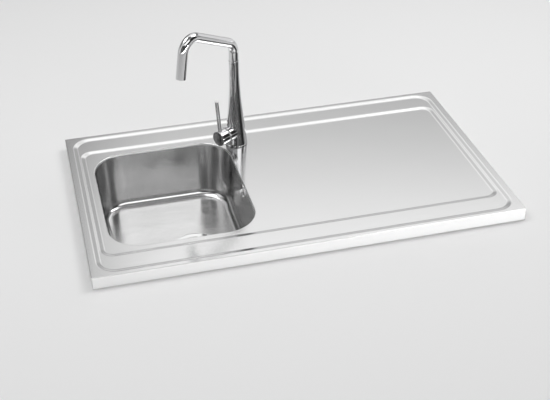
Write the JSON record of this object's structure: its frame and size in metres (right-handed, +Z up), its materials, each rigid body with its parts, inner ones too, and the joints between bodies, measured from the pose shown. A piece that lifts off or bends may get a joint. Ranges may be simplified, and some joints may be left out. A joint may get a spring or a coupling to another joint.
{
  "type": "kitchen sink with drainboard",
  "caption": "Sit-on stainless steel kitchen sink with a deep bowl at the left, a plain raised-rim drainboard, a basket strainer waste, an overflow and a lever mixer tap with a swivel spout.",
  "frame": {"origin": "middle of the sink in plan, on the plane of the cabinet's top edge that its frame and turned-in lip rest on", "axes": "+X along the sink from the bowl to the drainboard, +Y to the wall behind it, +Z up"},
  "size_m": [1, 0.6, 0.5925],
  "materials": {
    "satin_stainless": "satin pressed stainless steel sheet",
    "bowl_stainless": "polished drawn stainless steel",
    "softwood": "planed softwood",
    "galvanised_steel": "bright galvanised steel sheet",
    "damping_felt": "bitumen sound-damping sheet",
    "zinc_screws": "zinc-plated steel",
    "waste_chrome": "polished stainless steel",
    "gasket_rubber": "moulded rubber",
    "waste_plastic": "moulded polypropylene",
    "chrome": "polished chrome plate on brass",
    "machined_brass": "turned brass",
    "grey_acetal": "moulded acetal",
    "black_rubber": "moulded rubber",
    "zinc_steel": "zinc-plated steel"
  },
  "bodies": {
    "sink": {"sink_top": "satin_stainless", "bowl": "bowl_stainless", "batten_front": "softwood", "batten_back": "softwood", "batten_left": "softwood", "batten_right": "softwood", "channel_left": "galvanised_steel", "channel_middle": "galvanised_steel", "channel_right": "galvanised_steel", "drainer_pad_left": "damping_felt", "drainer_pad_right": "damping_felt", "bowl_pad": "damping_felt", "bracket_front_left": "galvanised_steel", "bracket_front_right": "galvanised_steel", "bracket_back_left": "galvanised_steel", "bracket_back_right": "galvanised_steel", "bracket_screws": "zinc_screws", "strainer_cup": "waste_chrome", "flange_gasket": "gasket_rubber", "waste_gasket": "gasket_rubber", "waste_housing": "waste_plastic", "centre_bolt": "waste_chrome", "overflow_rosette": "waste_chrome", "overflow_screw": "waste_chrome", "overflow_gasket": "gasket_rubber", "overflow_head": "waste_plastic", "overflow_pipe": "waste_plastic", "tap_body": "chrome", "tap_base_ring": "chrome", "tap_base_seal": "black_rubber", "tap_shank": "machined_brass", "tap_backing_plate": "grey_acetal", "tap_rubber_washer": "black_rubber", "tap_steel_washer": "zinc_steel", "tap_nut": "machined_brass", "cartridge": "grey_acetal", "cartridge_nut": "machined_brass", "cartridge_dome": "chrome", "spout_bush": "grey_acetal"},
    "spout": {"spout_tube": "chrome", "spout_stem": "machined_brass", "spout_collar": "chrome", "spout_o_rings": "black_rubber", "aerator_housing": "chrome", "aerator_insert": "grey_acetal"},
    "selector": {"selector": "grey_acetal", "pivot_pin": "zinc_steel"},
    "handle": {"handle_cap": "chrome", "handle_stem": "machined_brass", "lever": "chrome", "grub_screw": "zinc_steel"},
    "basket": {"basket": "waste_chrome", "basket_knob": "waste_chrome", "basket_stopper": "gasket_rubber"}
  },
  "joints": [
    {"name": "spout_swivel", "type": "hinge", "parent": "sink", "child": "spout", "pos_m": [-0.0765, 0.18, 0.249], "axis": [0, 0, 1], "continuous": true},
    {"name": "handle_turn", "type": "hinge", "parent": "sink", "child": "selector", "pos_m": [-0.0765, 0.18, 0.0594], "axis": [-0.8387, -0.5446, 0], "range_deg": [-45, 45]},
    {"name": "handle_tilt", "type": "hinge", "parent": "selector", "child": "handle", "pos_m": [-0.11104, 0.15757, 0.0594], "axis": [0.5446, -0.8387, 0], "range_deg": [0, 20]},
    {"name": "basket_lift", "type": "slide", "parent": "sink", "child": "basket", "axis": [0, 0, 1], "range_m": [0, 0.22]}
  ]
}
